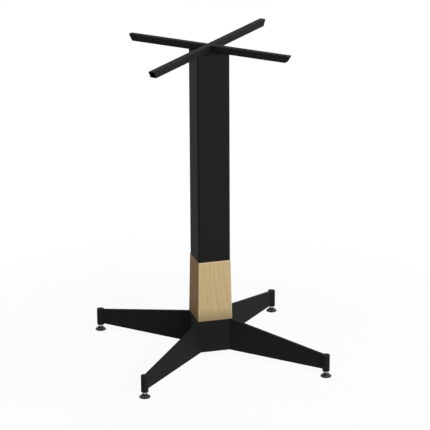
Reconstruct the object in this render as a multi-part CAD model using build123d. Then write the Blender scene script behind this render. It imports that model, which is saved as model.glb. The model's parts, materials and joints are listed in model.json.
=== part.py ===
from build123d import *
from math import atan2, degrees, sqrt
import os

os.makedirs("parts", exist_ok=True)

# Pedestal table base: a square steel column on a tapered timber collar, over a four-legged foot of
# folded sheet with levelling feet, and a cross of square tubes on top that carries the table top.
# The origin is on the floor under the column's axis, +Z is up and -Y is the front.

# Square column
column_width = 72.0
column_wall = 2.0
column_corner = 6.0
column_inner_corner = 4.0
column_length = 463.0
cap_plate_thickness = 4.0
foot_plate_thickness = 5.0

# Tapered timber collar on its steel core
collar_height = 136.0
collar_top_width = 72.5
collar_bottom_width = 77.5
collar_edge_radius = 2.0
collar_chamfer = 0.8
core_width = 50.0
core_wall = 2.5
core_corner = 4.0

# Folded leg plates and the plate that closes the hub
sheet = 3.0
bend_radius = 2.0
hub_width = 73.4
hub_depth = 73.0
leg_tip_depth = 32.0
foot_circle = 570.0
hub_plate_thickness = 5.0

# Round posts at the leg tips
post_diameter = 16.0
post_rise = 1.0
post_drop = 4.0
post_bore_depth = 33.0

# Levelling feet
stud_diameter = 8.0
stud_in_post = 25.0
stud_in_glide = 5.0
stud_show = 4.5
glide_diameter = 24.0
glide_rim_height = 2.0
glide_cone_height = 4.0
glide_cone_top = 13.0
glide_hex_width = 11.0
glide_hex_height = 2.5

# Top cross
bar_width = 15.0
bar_height = 15.0
bar_wall = 1.5
bar_corner = 2.0
long_bar_length = 480.0
half_bar_span = 388.0
bar_end_cut = 9.0
screw_hole = 6.0
screw_circle = 330.0

# Tie bolt that clamps base, collar and column together
bolt_diameter = 12.0
bolt_head_width = 19.0
bolt_head_height = 7.5
bolt_past_nut = 5.0
bolt_point = 1.5
nut_width = 19.0
nut_height = 10.0
washer_diameter = 24.0
washer_thickness = 2.5

# Clearances, each on the radius or on one side
weld_gap = 0.1
collar_slip = 0.3
thread_slack = 0.25
bolt_slack = 0.5
moulding_fit = 0.05

# Heights above the floor
glide_height = glide_rim_height + glide_cone_height + glide_hex_height
post_base = glide_height + stud_show
leg_base = post_base + post_drop
hub_top = leg_base + hub_depth
column_base = hub_top + collar_height
column_top = column_base + column_length
cross_top = column_top + bar_height

ROOT_TWO = sqrt(2)
QUARTER = 90
LEGS = ("rear_right", "rear_left", "front_left", "front_right")
LEG_TURNS = {leg: (place + 0.5) * QUARTER for place, leg in enumerate(LEGS)}
PLATES = ("front", "right", "rear", "left")
PLATE_TURNS = {side: place * QUARTER for place, side in enumerate(PLATES)}


def prism(profile, base, height):
    """Extrude a flat profile straight up from a height above the floor."""
    return Pos(0, 0, base) * extrude(profile, height)


def drilled_plate(profile, base, thickness):
    """Plate with the tie bolt's clearance hole in its middle."""
    return prism(profile - Circle(bolt_diameter / 2 + bolt_slack), base, thickness)


def hexagon(across_flats):
    return RegularPolygon(across_flats / 2, 6, major_radius=False)


# Column

def column_tube():
    outer = RectangleRounded(column_width, column_width, column_corner)
    bore_width = column_width - 2 * column_wall
    bore = RectangleRounded(bore_width, bore_width, column_inner_corner)
    return prism(outer - bore, column_base, column_length)


def column_end_profile():
    """Outline that drops into either end of the column."""
    width = column_width - 2 * (column_wall + weld_gap)
    return RectangleRounded(width, width, column_inner_corner)


def column_cap_plate():
    return prism(column_end_profile(), column_top - cap_plate_thickness, cap_plate_thickness)


def column_foot_plate():
    return drilled_plate(column_end_profile(), column_base, foot_plate_thickness)


def column_weld_nut():
    profile = hexagon(nut_width) - Circle(bolt_diameter / 2 + thread_slack)
    return prism(profile, column_base + foot_plate_thickness, nut_height)


# Collar

def timber_collar():
    """Square block that flares downwards, with eased edges and a square bore for the core tube."""
    flare = degrees(atan2((collar_bottom_width - collar_top_width) / 2, collar_height))
    foot = Rectangle(collar_bottom_width, collar_bottom_width)
    block = Pos(0, 0, hub_top) * extrude(foot, collar_height, taper=flare)
    block = fillet(block.edges().filter_by(Plane.XY, reverse=True), collar_edge_radius)
    rims = block.faces().sort_by(Axis.Z)
    block = chamfer(rims[0].edges() + rims[-1].edges(), collar_chamfer)
    bore_width = core_width + 2 * collar_slip
    return block - prism(Rectangle(bore_width, bore_width), hub_top, collar_height)


def collar_core_tube():
    bore_width = core_width - 2 * core_wall
    profile = RectangleRounded(core_width, core_width, core_corner) - Rectangle(bore_width, bore_width)
    return prism(profile, hub_top, collar_height)


# Folded foot

def nearest_corner(profile, point):
    return profile.vertices().sort_by_distance((point[0], point[1], 0))[0]


def leg_plate():
    """Front plate: a hub panel with a leg wing folded out at 45 degrees on each side.

    The back of each wing lies on the leg's centre plane, where it meets the next plate's wing.
    """
    panel_front = hub_width / 2
    panel_back = panel_front - sheet
    half_panel = panel_front - sheet * ROOT_TWO
    foot_place = foot_circle / 2 / ROOT_TWO
    half_sheet_step = sheet / ROOT_TWO
    front_fold = (half_panel, -panel_front)
    back_fold = (panel_back, -panel_back)
    wing_front_tip = (foot_place - half_sheet_step, -foot_place - half_sheet_step)
    wing_back_tip = (foot_place, -foot_place)
    right_side = [front_fold, wing_front_tip, wing_back_tip, back_fold]
    left_side = [(-x, y) for x, y in reversed(right_side)]
    profile = make_face(Polyline(*right_side, *left_side, close=True))
    for fold, radius in ((front_fold, bend_radius), (back_fold, bend_radius + sheet)):
        for side in (1, -1):
            profile = fillet(nearest_corner(profile, (side * fold[0], fold[1])), radius)
    plate = prism(profile, leg_base, hub_depth)

    # The upper edge of each wing slopes from the fold down to its post
    fold_radius = (half_panel + panel_front) / ROOT_TWO
    tip_radius = foot_circle / 2
    leg_side = Plane(origin=(0, 0, hub_top), x_dir=(1, -1, 0), z_dir=(-1, -1, 0))
    tip_drop = hub_depth - leg_tip_depth
    slope = make_face(Polyline((fold_radius, 0), (tip_radius, -tip_drop), (tip_radius, 0), close=True))
    wedge = extrude(leg_side * slope, 2 * sheet, both=True)

    # The tip is coped to fit round the post
    post_room = Circle(post_diameter / 2 + weld_gap)
    cope = Pos(foot_place, -foot_place, 0) * prism(post_room, leg_base, hub_depth)
    for cutter in (wedge, cope):
        plate = plate - cutter - mirror(cutter, about=Plane.YZ)
    return plate


def hub_plate():
    width = hub_width - 2 * (sheet + weld_gap)
    return drilled_plate(Rectangle(width, width), hub_top - hub_plate_thickness, hub_plate_thickness)


def tie_bolt():
    """Hexagon bolt pushed up from inside the hub into the nut on the column's foot plate."""
    head_top = hub_top - hub_plate_thickness - washer_thickness
    shank_top = column_base + foot_plate_thickness + nut_height + bolt_past_nut
    shank = prism(Circle(bolt_diameter / 2), head_top, shank_top - head_top)
    shank = chamfer(shank.edges().sort_by(Axis.Z)[-1], bolt_point)
    return shank + prism(hexagon(bolt_head_width), head_top - bolt_head_height, bolt_head_height)


def tie_bolt_washer():
    washer_base = hub_top - hub_plate_thickness - washer_thickness
    return drilled_plate(Circle(washer_diameter / 2), washer_base, washer_thickness)


# Leg tips, each made on the axis and moved to its leg

def end_post():
    leg_tip_top = leg_base + leg_tip_depth
    height = leg_tip_top + post_rise - post_base
    post = prism(Circle(post_diameter / 2), post_base, height)
    return post - prism(Circle(stud_diameter / 2 + thread_slack), post_base, post_bore_depth)


def stud_base():
    return glide_height - stud_in_glide


def foot_stud():
    return prism(Circle(stud_diameter / 2), stud_base(), stud_in_glide + stud_show + stud_in_post)


def foot_glide():
    """Moulded glide: a round pad under a cone, with a hexagon for a spanner on top."""
    rim = glide_diameter / 2
    cone_top = glide_rim_height + glide_cone_height
    section = Polyline(
        (0, 0),
        (rim, 0),
        (rim, glide_rim_height),
        (glide_cone_top / 2, cone_top),
        (0, cone_top),
        close=True,
    )
    pad = revolve(Plane.XZ * make_face(section), Axis.Z)
    glide = pad + prism(hexagon(glide_hex_width), cone_top, glide_hex_height)
    socket = Circle(stud_diameter / 2 + moulding_fit)
    return glide - prism(socket, stud_base(), stud_in_glide)


# Top cross

def cross_tube(inner_end, outer_end):
    """Tube along +X under the table top, with its outer end cut back below."""
    outer = RectangleRounded(bar_width, bar_height, bar_corner)
    bore = Rectangle(bar_width - 2 * bar_wall, bar_height - 2 * bar_wall)
    start = Plane(origin=(inner_end, 0, cross_top - bar_height / 2), x_dir=(0, 1, 0), z_dir=(1, 0, 0))
    tube = extrude(start * (outer - bore), outer_end - inner_end)
    undercut = Polyline(
        (outer_end, cross_top),
        (outer_end, column_top),
        (outer_end - bar_end_cut, column_top),
        close=True,
    )
    tube -= extrude(Plane.XZ * make_face(undercut), bar_width, both=True)
    return tube - Pos(screw_circle / 2, 0, 0) * prism(Circle(screw_hole / 2), column_top, bar_height)


def cross_long_bar():
    """One tube from front left to rear right, made as two equal lengths joined at the middle."""
    arm = cross_tube(0, long_bar_length / 2)
    return Rot(0, 0, LEG_TURNS["rear_right"]) * (arm + mirror(arm, about=Plane.YZ))


def cross_half_bar(leg):
    """Tube from the side of the long bar out over one leg."""
    return Rot(0, 0, LEG_TURNS[leg]) * cross_tube(bar_width / 2 + weld_gap, half_bar_span / 2)


# Assembly

nodes = {
    "column_tube": column_tube(),
    "column_cap_plate": column_cap_plate(),
    "column_foot_plate": column_foot_plate(),
    "column_weld_nut": column_weld_nut(),
    "timber_collar": timber_collar(),
    "collar_core_tube": collar_core_tube(),
    "hub_plate": hub_plate(),
    "tie_bolt": tie_bolt(),
    "tie_bolt_washer": tie_bolt_washer(),
    "cross_long_bar": cross_long_bar(),
    "cross_half_bar_left": cross_half_bar("rear_left"),
    "cross_half_bar_right": cross_half_bar("front_right"),
}
front_plate = leg_plate()
for side, turn in PLATE_TURNS.items():
    nodes[f"leg_plate_{side}"] = Rot(0, 0, turn) * front_plate
tip_pieces = {"end_post": end_post(), "foot_stud": foot_stud(), "foot_glide": foot_glide()}
for leg, turn in LEG_TURNS.items():
    tip = Rot(0, 0, turn) * Pos(foot_circle / 2, 0, 0)
    for piece, solid in tip_pieces.items():
        nodes[f"{piece}_{leg}"] = tip * solid

for name, solid in nodes.items():
    export_step(solid, f"parts/{name}.step")
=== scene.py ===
import json
from math import cos, pi, radians, sin, sqrt

import bmesh
import bpy
from mathutils import Matrix, Vector


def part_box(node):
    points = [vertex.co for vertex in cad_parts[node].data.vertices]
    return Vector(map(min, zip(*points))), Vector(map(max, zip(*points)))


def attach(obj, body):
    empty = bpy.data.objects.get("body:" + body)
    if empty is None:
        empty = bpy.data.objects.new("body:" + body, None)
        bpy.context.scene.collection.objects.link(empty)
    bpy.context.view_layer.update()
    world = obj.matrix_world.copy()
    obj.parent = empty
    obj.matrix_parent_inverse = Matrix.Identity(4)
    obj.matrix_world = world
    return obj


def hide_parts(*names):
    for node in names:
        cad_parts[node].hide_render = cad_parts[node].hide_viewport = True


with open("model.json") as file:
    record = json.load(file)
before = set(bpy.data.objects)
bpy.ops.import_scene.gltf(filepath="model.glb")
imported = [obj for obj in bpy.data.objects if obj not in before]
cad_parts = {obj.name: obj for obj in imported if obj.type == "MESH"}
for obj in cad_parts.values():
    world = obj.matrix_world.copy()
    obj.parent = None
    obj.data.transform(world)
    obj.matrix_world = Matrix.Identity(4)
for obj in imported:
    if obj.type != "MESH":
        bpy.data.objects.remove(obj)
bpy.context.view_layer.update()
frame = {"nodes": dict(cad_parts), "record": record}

# Table base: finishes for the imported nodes, threaded studs, moulded glides and weld beads in a
# small studio. Lengths are in metres.

MM = 0.001
UP = Vector((0.0, 0.0, 1.0))
LEGS = ("rear_right", "rear_left", "front_left", "front_right")

# The photograph's view: the camera stands a little to the left of the front and looks down
PICTURE_SIZE = 430
SENSOR_WIDTH = 36.0
FOCAL_LENGTH_IN_PIXELS = 2564.7
VIEW_TURN = radians(15.67)
VIEW_RISE = radians(19.28)
VIEW_ROLL = radians(-0.30)
VIEW_DISTANCE = 5.56
VIEW_AIM = Vector((0.0105, -0.0029, 0.3208))

# Room: the light of each wall, which starts and is full at these cosines of the angle to its middle
ROOM_FILL = 0.035
ROOM_FRONT = 0.72
ROOM_BACK = 0.24
ROOM_LEFT = 0.12
ROOM_CORNER = (0.7, 0.98)
WHITE = (1.0, 1.0, 1.0, 1.0)
SEEN_RAYS = ("Is Camera Ray", "Is Glossy Ray", "Is Transmission Ray")

# Floor: the share of it that shows, and the distances over which its shadow fades
FLOOR_COLOUR = (0.85, 0.85, 0.84, 1.0)
FLOOR_RADIUS = 4.0
FLOOR_SHARE = 0.06
SHADOW_FADE = (0.35, 0.9)

# Thread of the studs: flats at crest and root are shares of the pitch
THREAD_PITCH = 1.25 * MM
THREAD_DEPTH = 0.77 * MM
THREAD_CREST = 1 / 8
THREAD_ROOT = 1 / 4
THREAD_STEPS = 28
THREAD_LEAD_IN = 2.1        # pitches past each end, chosen so that no corner lies on a cut

# Glides
GLIDE_RIM_HEIGHT = 2.0 * MM
GLIDE_CONE_TOP_RADIUS = 6.5 * MM
GLIDE_CONE_TOP = 6.0 * MM
GLIDE_HEX_WIDTH = 11.0 * MM
GLIDE_ROUNDING = 0.5 * MM
GLIDE_STEPS = 48

# Weld beads under the powder coat
BEAD_RADIUS = 1.5 * MM
BEAD_END_RADIUS = 0.35        # share of the radius
BEAD_SIDES = 10
BEAD_RIPPLE = 1.6 * MM
BEAD_RIPPLE_DEPTH = 0.1        # share of the radius
BEAD_CUTS_PER_RIPPLE = 4
LEG_HALF_THICKNESS = 3.0 * MM
COLUMN_CORNER_INSET = 4.0 * MM
CROSS_BEAD_GAP = 4.0 * MM

# Meshes
SMOOTH_ANGLE = radians(35)
MERGE_DISTANCE = 0.001 * MM
CUT_TOLERANCE = 0.01 * MM

# Timber of the collar: grain stretches are waves a metre along X, Y and Z
STAVE_SEAM = -9.0 * MM
STAVE_SHIFT = 41.0 * MM
SEAM_BLEND = 0.2 * MM
GLUE_LINE_FADE = (0.5 * MM, 0.1 * MM)
PITH = (105.0 * MM, 160.0 * MM, 0.0)
RING_WIDTH = 4.6 * MM
RING_SWAY = 30.0 * MM
SWAY_STRETCH = (9.0, 9.0, 2.2)
FIBRE_STRETCH = (1500.0, 1500.0, 42.0)
FLECK_STRETCH = (620.0, 620.0, 34.0)
DRIFT_STRETCH = (26.0, 26.0, 4.0)
COLLAR_TOP_HALF_WIDTH = 36.25 * MM
# Bands of the painted edge highlight, on the sides and below the top rim
SIDE_HIGHLIGHT_BAND = (5.0 * MM, 0.5 * MM)
RIM_HIGHLIGHT_BAND = (5.0 * MM, 1.0 * MM)
# Painted shade at the collar's foot: the heights above and below the foot between which it fades in
FOOT_SHADE_RISE = 38.0 * MM
FOOT_SHADE_SINK = 8.0 * MM

# Colours of the timber
LEFT_STAVE = (0.545, 0.415, 0.21, 1.0)
RIGHT_STAVE = (0.555, 0.415, 0.235, 1.0)
LATE_WOOD = (0.40, 0.28, 0.14, 1.0)
DARK_FIBRE = (0.43, 0.31, 0.165, 1.0)
DARK_FLECK = (0.29, 0.19, 0.095, 1.0)
GLUE = (0.32, 0.22, 0.12, 1.0)
# Painted highlight on the edges
EDGE_HIGHLIGHT = (0.68, 0.55, 0.37, 1.0)
# Painted shade of the left face
LEFT_FACE_SHADE = (0.87, 0.67, 0.66, 1.0)
# Painted shade at the foot of the collar
FOOT_SHADE = (0.02, 0.025, 0.02, 1.0)

# Darkest and palest colour of the other finishes
COAT_COLOURS = ((0.0105, 0.0105, 0.0105, 1.0), (0.0126, 0.0126, 0.0126, 1.0))
ZINC_COLOURS = ((0.74, 0.745, 0.75, 1.0), (0.82, 0.81, 0.785, 1.0))
STEEL_COLOURS = ((0.30, 0.30, 0.31, 1.0), (0.46, 0.455, 0.45, 1.0))
NYLON_COLOURS = ((0.006, 0.006, 0.006, 1.0), (0.010, 0.010, 0.0095, 1.0))


# Shader expressions

class Wire:
    """A shader socket that takes part in Python expressions; each operator adds one Math node."""

    def __init__(self, finish, socket):
        self.finish = finish
        self.socket = socket

    def math(self, operation, first, second):
        return self.finish.node("ShaderNodeMath", {"operation": operation}, {0: first, 1: second})

    def __add__(self, other):
        return self.math("ADD", self, other)

    def __radd__(self, other):
        return self.math("ADD", other, self)

    def __sub__(self, other):
        return self.math("SUBTRACT", self, other)

    def __rsub__(self, other):
        return self.math("SUBTRACT", other, self)

    def __mul__(self, other):
        return self.math("MULTIPLY", self, other)

    def __rmul__(self, other):
        return self.math("MULTIPLY", other, self)

    def __truediv__(self, other):
        return self.math("DIVIDE", self, other)

    def __rtruediv__(self, other):
        return self.math("DIVIDE", other, self)

    def __mod__(self, other):
        return self.math("FLOORED_MODULO", self, other)

    def __rmod__(self, other):
        return self.math("FLOORED_MODULO", other, self)

    def __neg__(self):
        return self.math("MULTIPLY", self, -1.0)

    def __abs__(self):
        return self.math("ABSOLUTE", self, 0.0)

    def lower_of(self, other):
        return self.math("MINIMUM", self, other)

    def higher_of(self, other):
        return self.math("MAXIMUM", self, other)

    def rise(self, start, end):
        """0 at start, 1 at end, smooth between them and level beyond; start may be the higher one."""
        return self.finish.node(
            "ShaderNodeMapRange",
            {"interpolation_type": "SMOOTHSTEP"},
            {"Value": self, "From Min": start, "From Max": end},
        )


class Finish:
    """The nodes of one material or of the world."""

    def __init__(self, owner):
        owner.use_nodes = True
        self.owner = owner
        self.tree = owner.node_tree

    def node(self, kind, settings=None, inputs=None, output=0):
        """Add a node, set it up, feed its sockets and give one of its outputs."""
        made = self.tree.nodes.new(kind)
        for name, value in (settings or {}).items():
            setattr(made, name, value)
        for name, value in (inputs or {}).items():
            self.feed(made.inputs[name], value)
        return Wire(self, made.outputs[output])

    def feed(self, socket, value):
        if isinstance(value, Wire):
            self.tree.links.new(value.socket, socket)
        else:
            socket.default_value = value

    def shade(self, **values):
        """Set sockets of the material's Principled shader, named with _ for each space."""
        shader = self.tree.nodes["Principled BSDF"]
        for name, value in values.items():
            self.feed(shader.inputs[name.replace("_", " ")], value)

    def place(self, stretch=(1.0, 1.0, 1.0)):
        """Object coordinates in metres, times a number on each axis."""
        point = self.node("ShaderNodeTexCoord", output="Object")
        return self.node("ShaderNodeVectorMath", {"operation": "MULTIPLY"}, {0: point, 1: stretch})

    def axes(self, point):
        split = self.node("ShaderNodeSeparateXYZ", inputs={0: point}).socket.node
        return [Wire(self, socket) for socket in split.outputs]

    def noise(self, point, scale=1.0, detail=2.0, roughness=0.5):
        inputs = {"Vector": point, "Scale": scale, "Detail": detail, "Roughness": roughness}
        return self.node("ShaderNodeTexNoise", None, inputs, "Fac")

    def blend(self, factor, first, second, mode="MIX"):
        """Colour between two colours, or the first one tinted by the second."""
        settings = {"data_type": "RGBA", "blend_type": mode}
        return self.node("ShaderNodeMix", settings, {0: factor, 6: first, 7: second}, 2)

    def bump(self, height, depth):
        inputs = {"Height": height, "Distance": depth, "Strength": 1.0}
        self.shade(Normal=self.node("ShaderNodeBump", None, inputs))

    def seen(self):
        """1 for the rays that show the background, directly or in a reflection, and 0 for the rest."""
        rays = self.node("ShaderNodeLightPath").socket.node.outputs
        camera, glossy, transmission = [Wire(self, rays[kind]) for kind in SEEN_RAYS]
        return camera.higher_of(glossy).higher_of(transmission)


def new_finish(name):
    return Finish(bpy.data.materials.new(name))


# Finishes

def black_powder_coat():
    """Black powder coat with fine orange peel and a low, slightly uneven sheen."""
    coat = new_finish("black_powder_coat")
    place = coat.place()
    drift = coat.noise(place, scale=11.0)
    peel = coat.noise(place, scale=420.0)
    grain = coat.noise(place, scale=1900.0, detail=1.0)
    coat.shade(
        Base_Color=coat.blend(drift, *COAT_COLOURS),
        Roughness=0.62 + drift * 0.05 + grain * 0.05,
        Specular_IOR_Level=0.055,
    )
    coat.bump(peel * 0.7 + grain * 0.3, depth=0.03 * MM)
    return coat.owner


def light_timber():
    """Pale hardwood glued up of two staves, with upright grain under a matt lacquer."""
    wood = new_finish("light_timber")
    low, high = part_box("timber_collar")
    x, y, z = wood.axes(wood.place())

    # Two staves with a glue line between them
    stave = x.rise(STAVE_SEAM - SEAM_BLEND, STAVE_SEAM + SEAM_BLEND)
    glue_line = abs(x - STAVE_SEAM).rise(*GLUE_LINE_FADE)

    # Growth rings round a pith outside the block, cut through by each stave in another place
    sway = wood.noise(wood.place(SWAY_STRETCH), detail=3.0)
    from_pith = wood.node(
        "ShaderNodeVectorMath",
        {"operation": "DISTANCE"},
        {0: wood.place((1.0, 1.0, 0.0)), 1: PITH},
        "Value",
    )
    ring = ((from_pith + sway * RING_SWAY + stave * STAVE_SHIFT) / RING_WIDTH) % 1.0
    late_wood = ring.rise(0.3, 0.95) * ring.rise(1.0, 0.95)

    # Upright grain
    fibre = wood.noise(wood.place(FIBRE_STRETCH), detail=3.0, roughness=0.6)
    fleck = wood.noise(wood.place(FLECK_STRETCH), detail=1.0).rise(0.62, 0.74)
    drift = wood.noise(wood.place(DRIFT_STRETCH))

    # Painted highlight: a paler band along the eased edges and below the top rim, where they would
    # catch the light
    bottom_half_width = (high.x - low.x) / 2
    slope = (bottom_half_width - COLLAR_TOP_HALF_WIDTH) / (high.z - low.z)
    half_width = bottom_half_width - (z - low.z) * slope
    edge_start, edge_end = SIDE_HIGHLIGHT_BAND
    rim_start, rim_end = RIM_HIGHLIGHT_BAND
    side_edge = (abs(x).lower_of(abs(y)) - half_width).rise(-edge_start, -edge_end)
    rim = z.rise(high.z - rim_start, high.z - rim_end)
    edge_highlight = side_edge.higher_of(rim)

    # Painted shade: the left face is darker and redder, as a shaded side, and the foot end is darker
    facing = wood.axes(wood.node("ShaderNodeTexCoord", output="Normal"))
    left_face_shade = (-facing[0]).rise(0.5, 0.9)
    foot_shade = z.rise(low.z + FOOT_SHADE_RISE, low.z - FOOT_SHADE_SINK)

    tone = wood.blend(stave * (0.6 + drift * 0.4), LEFT_STAVE, RIGHT_STAVE)
    layers = (
        (late_wood, 0.3, LATE_WOOD),
        (fibre.rise(0.35, 0.75), 0.22, DARK_FIBRE),
        (fleck, 0.35, DARK_FLECK),
        (glue_line, 0.25, GLUE),
        (edge_highlight, 0.5, EDGE_HIGHLIGHT),
    )
    for mask, strength, colour in layers:
        tone = wood.blend(mask * strength, tone, colour)
    # Painted shade on the left face
    tone = wood.blend(left_face_shade, tone, LEFT_FACE_SHADE, "MULTIPLY")
    # Painted shade darkens the foot end
    tone = wood.blend(foot_shade * 0.5, tone, FOOT_SHADE)
    wood.shade(
        Base_Color=tone,
        Roughness=0.6 + fibre * 0.12 + fleck * 0.1,
        Specular_IOR_Level=0.08,
    )
    wood.bump(fibre * 0.4 - fleck * 0.6 - late_wood * 0.2, depth=0.08 * MM)
    return wood.owner


def bright_zinc():
    """Bright zinc plate on turned steel."""
    zinc = new_finish("bright_zinc")
    cloud = zinc.noise(zinc.place(), scale=260.0)
    lathe = zinc.noise(zinc.place((300.0, 300.0, 9000.0)), detail=1.0)
    zinc.shade(
        Base_Color=zinc.blend(cloud, *ZINC_COLOURS),
        Metallic=1.0,
        Roughness=0.42 + cloud * 0.1 + lathe * 0.06,
    )
    zinc.bump(lathe, depth=0.01 * MM)
    return zinc.owner


def plain_steel():
    """Uncoated steel with a dull grey skin."""
    steel = new_finish("plain_steel")
    cloud = steel.noise(steel.place(), scale=130.0, detail=4.0)
    steel.shade(
        Base_Color=steel.blend(cloud, *STEEL_COLOURS),
        Metallic=1.0,
        Roughness=0.38 + cloud * 0.2,
    )
    return steel.owner


def black_moulding():
    """Moulded black nylon with a fine sparked texture."""
    nylon = new_finish("black_moulding")
    cloud = nylon.noise(nylon.place(), scale=70.0)
    spark = nylon.noise(nylon.place(), scale=2600.0)
    nylon.shade(
        Base_Color=nylon.blend(cloud, *NYLON_COLOURS),
        Roughness=0.48 + spark * 0.14,
        Specular_IOR_Level=0.45,
    )
    nylon.bump(spark, depth=0.03 * MM)
    return nylon.owner


finishes = {
    "black_powder_coat": black_powder_coat(),
    "light_timber": light_timber(),
    "bright_zinc": bright_zinc(),
    "plain_steel": plain_steel(),
    "black_moulding": black_moulding(),
}
for subpart in frame["record"]["subparts"]:
    node = frame["nodes"][subpart["node"]]
    for slot in node.material_slots:
        slot.material = finishes[subpart["material_slot"]]


# New pieces

def finished_piece(name, mesh, body, slot):
    """Make an object of a finished bmesh, which rides a body and takes a slot's finish."""
    data = bpy.data.meshes.new(name)
    mesh.to_mesh(data)
    mesh.free()
    data.shade_smooth()
    data.set_sharp_from_angle(angle=SMOOTH_ANGLE)
    piece = bpy.data.objects.new(name, data)
    bpy.context.scene.collection.objects.link(piece)
    data.materials.append(finishes[slot])
    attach(piece, body)
    return piece


def threaded_stud(leg):
    """Bright stud with its screw thread, cut square at both ends."""
    low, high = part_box("foot_stud_" + leg)
    axis = (low + high) / 2
    crest = (high.x - low.x) / 2
    root = crest - THREAD_DEPTH
    root_start = THREAD_CREST + (1 - THREAD_CREST - THREAD_ROOT) / 2
    one_pitch = (
        (crest, 0.0),
        (crest, THREAD_CREST),
        (root, root_start),
        (root, root_start + THREAD_ROOT),
    )
    pitches = int((high.z - low.z) / THREAD_PITCH + 2 * THREAD_LEAD_IN)
    mesh = bmesh.new()
    last = None
    for turn in range(pitches):
        for radius, share in one_pitch:
            height = low.z + (turn - THREAD_LEAD_IN + share) * THREAD_PITCH
            vert = mesh.verts.new((axis.x + radius, axis.y, height))
            if last is not None:
                mesh.edges.new((last, vert))
            last = vert
    bmesh.ops.spin(
        mesh,
        geom=mesh.verts[:] + mesh.edges[:],
        cent=(axis.x, axis.y, 0.0),
        axis=UP,
        dvec=UP * (THREAD_PITCH / THREAD_STEPS),
        angle=2 * pi,
        steps=THREAD_STEPS,
    )
    bmesh.ops.remove_doubles(mesh, verts=mesh.verts, dist=MERGE_DISTANCE)
    for height, outward in ((low.z, -UP), (high.z, UP)):
        bmesh.ops.bisect_plane(
            mesh,
            geom=mesh.verts[:] + mesh.edges[:] + mesh.faces[:],
            plane_co=UP * height,
            plane_no=outward,
            clear_outer=True,
        )
        open_edges = [edge for edge in mesh.edges if edge.is_boundary]
        rim = [edge for edge in open_edges if abs(edge.verts[0].co.z - height) < CUT_TOLERANCE]
        bmesh.ops.holes_fill(mesh, edges=rim)
    bmesh.ops.recalc_face_normals(mesh, faces=mesh.faces)
    piece = finished_piece("threaded_stud_" + leg, mesh, "foot_" + leg, "bright_zinc")
    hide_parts("foot_stud_" + leg)


def moulded_glide(leg):
    """Round pad under a cone with rounded edges, and a spanner hexagon on top."""
    low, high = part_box("foot_glide_" + leg)
    axis = (low + high) / 2
    rim = (high.x - low.x) / 2
    cone_top = low.z + GLIDE_CONE_TOP

    # Half section with its outer corners rounded, kept as a line and spun
    mesh = bmesh.new()
    section = (
        (0.0, low.z),
        (rim, low.z),
        (rim, low.z + GLIDE_RIM_HEIGHT),
        (GLIDE_CONE_TOP_RADIUS, cone_top),
        (0.0, cone_top),
    )
    corners = [mesh.verts.new((axis.x + radius, axis.y, height)) for radius, height in section]
    axis_ends = (corners[0], corners[-1])
    mesh.faces.new(corners)
    bmesh.ops.bevel(
        mesh,
        geom=corners[1:4],
        offset=GLIDE_ROUNDING,
        affect="VERTICES",
        segments=4,
        profile=0.5,
        material=-1,
    )
    axis_edge = mesh.edges.get(axis_ends)
    bmesh.ops.delete(mesh, geom=mesh.faces[:], context="FACES_ONLY")
    bmesh.ops.delete(mesh, geom=[axis_edge], context="EDGES_FACES")
    bmesh.ops.spin(
        mesh,
        geom=mesh.verts[:] + mesh.edges[:],
        cent=(axis.x, axis.y, 0.0),
        axis=UP,
        angle=2 * pi,
        steps=GLIDE_STEPS,
        use_merge=True,
    )
    bmesh.ops.remove_doubles(mesh, verts=mesh.verts, dist=MERGE_DISTANCE)

    corner_radius = GLIDE_HEX_WIDTH / 2 / cos(pi / 6)
    hexagon = bmesh.ops.create_cone(
        mesh,
        cap_ends=True,
        segments=6,
        radius1=corner_radius,
        radius2=corner_radius,
        depth=high.z - cone_top,
        matrix=Matrix.Translation((axis.x, axis.y, (cone_top + high.z) / 2)),
    )["verts"]
    edges = {edge for vert in hexagon for edge in vert.link_edges}
    bmesh.ops.bevel(
        mesh,
        geom=list(edges),
        offset=GLIDE_ROUNDING / 2,
        affect="EDGES",
        segments=2,
        profile=0.5,
        material=-1,
    )
    bmesh.ops.recalc_face_normals(mesh, faces=mesh.faces)
    piece = finished_piece("moulded_glide_" + leg, mesh, "foot_" + leg, "black_moulding")
    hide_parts("foot_glide_" + leg)


def add_weld_bead(mesh, start, end):
    """Add a rippled bead with rounded ends along a joint."""
    length = (end - start).length
    turn = (end - start).to_track_quat("Z", "Y").to_matrix().to_4x4()
    bead = bmesh.new()
    bmesh.ops.create_cone(
        bead,
        cap_ends=True,
        segments=BEAD_SIDES,
        radius1=BEAD_RADIUS,
        radius2=BEAD_RADIUS,
        depth=length,
    )
    ribs = [edge for edge in bead.edges if edge.calc_length() > length / 2]
    cuts = int(length / BEAD_RIPPLE * BEAD_CUTS_PER_RIPPLE)
    bmesh.ops.subdivide_edges(bead, edges=ribs, cuts=cuts, use_grid_fill=True)
    for vert in bead.verts:
        from_end = length / 2 - abs(vert.co.z)
        round_end = min(1.0, BEAD_END_RADIUS + (1.0 - BEAD_END_RADIUS) * from_end / BEAD_RADIUS)
        ripple = 1.0 + BEAD_RIPPLE_DEPTH * sin(2 * pi * vert.co.z / BEAD_RIPPLE)
        vert.co.x *= round_end * ripple
        vert.co.y *= round_end * ripple
    bmesh.ops.transform(bead, matrix=Matrix.Translation((start + end) / 2) @ turn, verts=bead.verts)
    data = bpy.data.meshes.new("weld_bead")
    bead.to_mesh(data)
    bead.free()
    mesh.from_mesh(data)
    bpy.data.meshes.remove(data)


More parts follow.
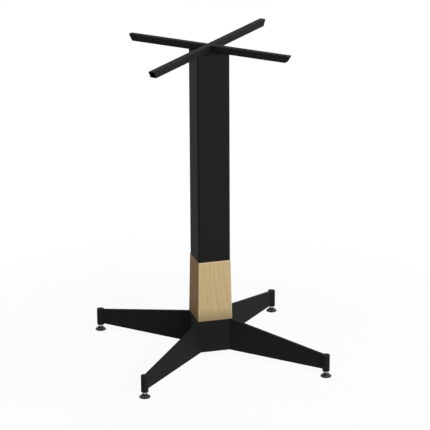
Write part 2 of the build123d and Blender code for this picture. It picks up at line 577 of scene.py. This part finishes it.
def post_welds(leg):
    """A bead on each side of a leg where its sheets meet the post."""
    low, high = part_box("end_post_" + leg)
    axis = (low + high) / 2
    radius = (high.x - low.x) / 2
    post_foot = Vector((axis.x, axis.y, 0.0))
    outward = post_foot.normalized()
    across = UP.cross(outward)
    sheet_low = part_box("leg_plate_front")[0].z
    inner_side = post_foot - outward * sqrt(radius**2 - LEG_HALF_THICKNESS**2)
    mesh = bmesh.new()
    for side in (1, -1):
        joint = inner_side + across * side * LEG_HALF_THICKNESS
        start = joint + UP * (sheet_low + BEAD_RADIUS)
        end = joint + UP * (high.z - 2 * BEAD_RADIUS)
        add_weld_bead(mesh, start, end)
    finished_piece("post_welds_" + leg, mesh, "base", "black_powder_coat")


def cross_welds():
    """Beads along both sides of the cross where it sits on the column."""
    column_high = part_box("column_tube")[1]
    bar_low, bar_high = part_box("cross_half_bar_right")
    half_bar = (bar_high.z - bar_low.z) / 2
    bead_start = half_bar + BEAD_RADIUS
    bead_end = (column_high.x - COLUMN_CORNER_INSET) * sqrt(2) - CROSS_BEAD_GAP
    mesh = bmesh.new()
    for quarter in range(4):
        turn = pi / 4 + quarter * pi / 2
        along = Vector((cos(turn), sin(turn), 0.0))
        across = UP.cross(along)
        for side in (1, -1):
            edge = UP * column_high.z + across * side * half_bar
            add_weld_bead(mesh, edge + along * bead_start, edge + along * bead_end)
    finished_piece("cross_welds", mesh, "base", "black_powder_coat")


for leg in LEGS:
    threaded_stud(leg)
    moulded_glide(leg)
    post_welds(leg)
cross_welds()


# Stage

def pale_floor():
    """Pale floor that shows only a faint shadow and fades into the white background."""
    finish = new_finish("pale_floor")
    tree = finish.tree
    tree.nodes.remove(tree.nodes["Principled BSDF"])
    centre = finish.node("ShaderNodeVectorMath", {"operation": "LENGTH"}, {0: finish.place()}, "Value")
    share = FLOOR_SHARE * (1.0 - centre.rise(*SHADOW_FADE))
    matt = finish.node("ShaderNodeBsdfDiffuse", None, {"Color": FLOOR_COLOUR})
    clear = finish.node("ShaderNodeBsdfTransparent")
    mix = {0: finish.seen() * (1.0 - share), 1: matt, 2: clear}
    surface = finish.node("ShaderNodeMixShader", None, mix)
    finish.feed(tree.nodes["Material Output"].inputs["Surface"], surface)

    mesh = bmesh.new()
    bmesh.ops.create_circle(mesh, cap_ends=True, radius=FLOOR_RADIUS, segments=96)
    data = bpy.data.meshes.new("floor")
    mesh.to_mesh(data)
    mesh.free()
    data.materials.append(finish.owner)
    floor = bpy.data.objects.new("floor", data)
    bpy.context.scene.collection.objects.link(floor)


def studio_room():
    """World that is seen and reflected as white, and gives the light of a dim room, palest in front."""
    world = bpy.data.worlds.new("room")
    bpy.context.scene.world = world
    room = Finish(world)
    x, y = room.axes(room.node("ShaderNodeTexCoord", output="Generated"))[:2]
    front = (-y).rise(*ROOM_CORNER)
    back = y.rise(*ROOM_CORNER)
    left = (-x).rise(*ROOM_CORNER)
    light = ROOM_FILL + front * ROOM_FRONT + back * ROOM_BACK + left * ROOM_LEFT
    seen = room.seen()
    backdrop = room.tree.nodes["Background"]
    room.feed(backdrop.inputs["Color"], WHITE)
    room.feed(backdrop.inputs["Strength"], light * (1.0 - seen) + seen)


def soft_lamp(name, place, aim_height, width, height, power):
    """Softbox that points at a height on the column's axis and doesn't show in the picture."""
    data = bpy.data.lights.new(name, "AREA")
    data.shape = "RECTANGLE"
    data.size = width
    data.size_y = height
    data.energy = power
    lamp = bpy.data.objects.new(name, data)
    lamp.location = place
    lamp.rotation_mode = "QUATERNION"
    lamp.rotation_quaternion = (UP * aim_height - Vector(place)).to_track_quat("-Z", "Y")
    lamp.visible_camera = False
    bpy.context.scene.collection.objects.link(lamp)


def photograph_camera():
    """Camera at the photograph's place, with its lens and its slight roll."""
    back = Vector((
        -sin(VIEW_TURN) * cos(VIEW_RISE),
        -cos(VIEW_TURN) * cos(VIEW_RISE),
        sin(VIEW_RISE),
    ))
    right = UP.cross(back).normalized()
    up = back.cross(right)
    rolled_right = right * cos(VIEW_ROLL) + up * sin(VIEW_ROLL)
    rolled_up = up * cos(VIEW_ROLL) - right * sin(VIEW_ROLL)
    data = bpy.data.cameras.new("camera")
    data.sensor_width = SENSOR_WIDTH
    data.lens = FOCAL_LENGTH_IN_PIXELS / PICTURE_SIZE * SENSOR_WIDTH
    camera = bpy.data.objects.new("camera", data)
    turned = Matrix((rolled_right, rolled_up, back)).transposed().to_4x4()
    camera.matrix_world = Matrix.Translation(VIEW_AIM + back * VIEW_DISTANCE) @ turned
    bpy.context.scene.collection.objects.link(camera)
    bpy.context.scene.camera = camera


pale_floor()
studio_room()
soft_lamp("front_softbox", (1.3, -3.6, 2.7), aim_height=0.35, width=2.0, height=1.7, power=162.0)
soft_lamp("overhead_softbox", (0.35, 1.3, 1.9), aim_height=0.6, width=0.9, height=0.7, power=2.0)
soft_lamp("rear_panel", (-1.2, 3.6, 0.7), aim_height=0.4, width=2.6, height=1.4, power=6.0)
soft_lamp("right_strip", (2.4, 0.4, 1.0), aim_height=0.6, width=0.6, height=1.2, power=10.0)
soft_lamp("rear_right_softbox", (2.4, 3.0, 1.3), aim_height=0.4, width=2.4, height=1.8, power=25.0)
photograph_camera()
bpy.context.scene.view_settings.view_transform = "Standard"
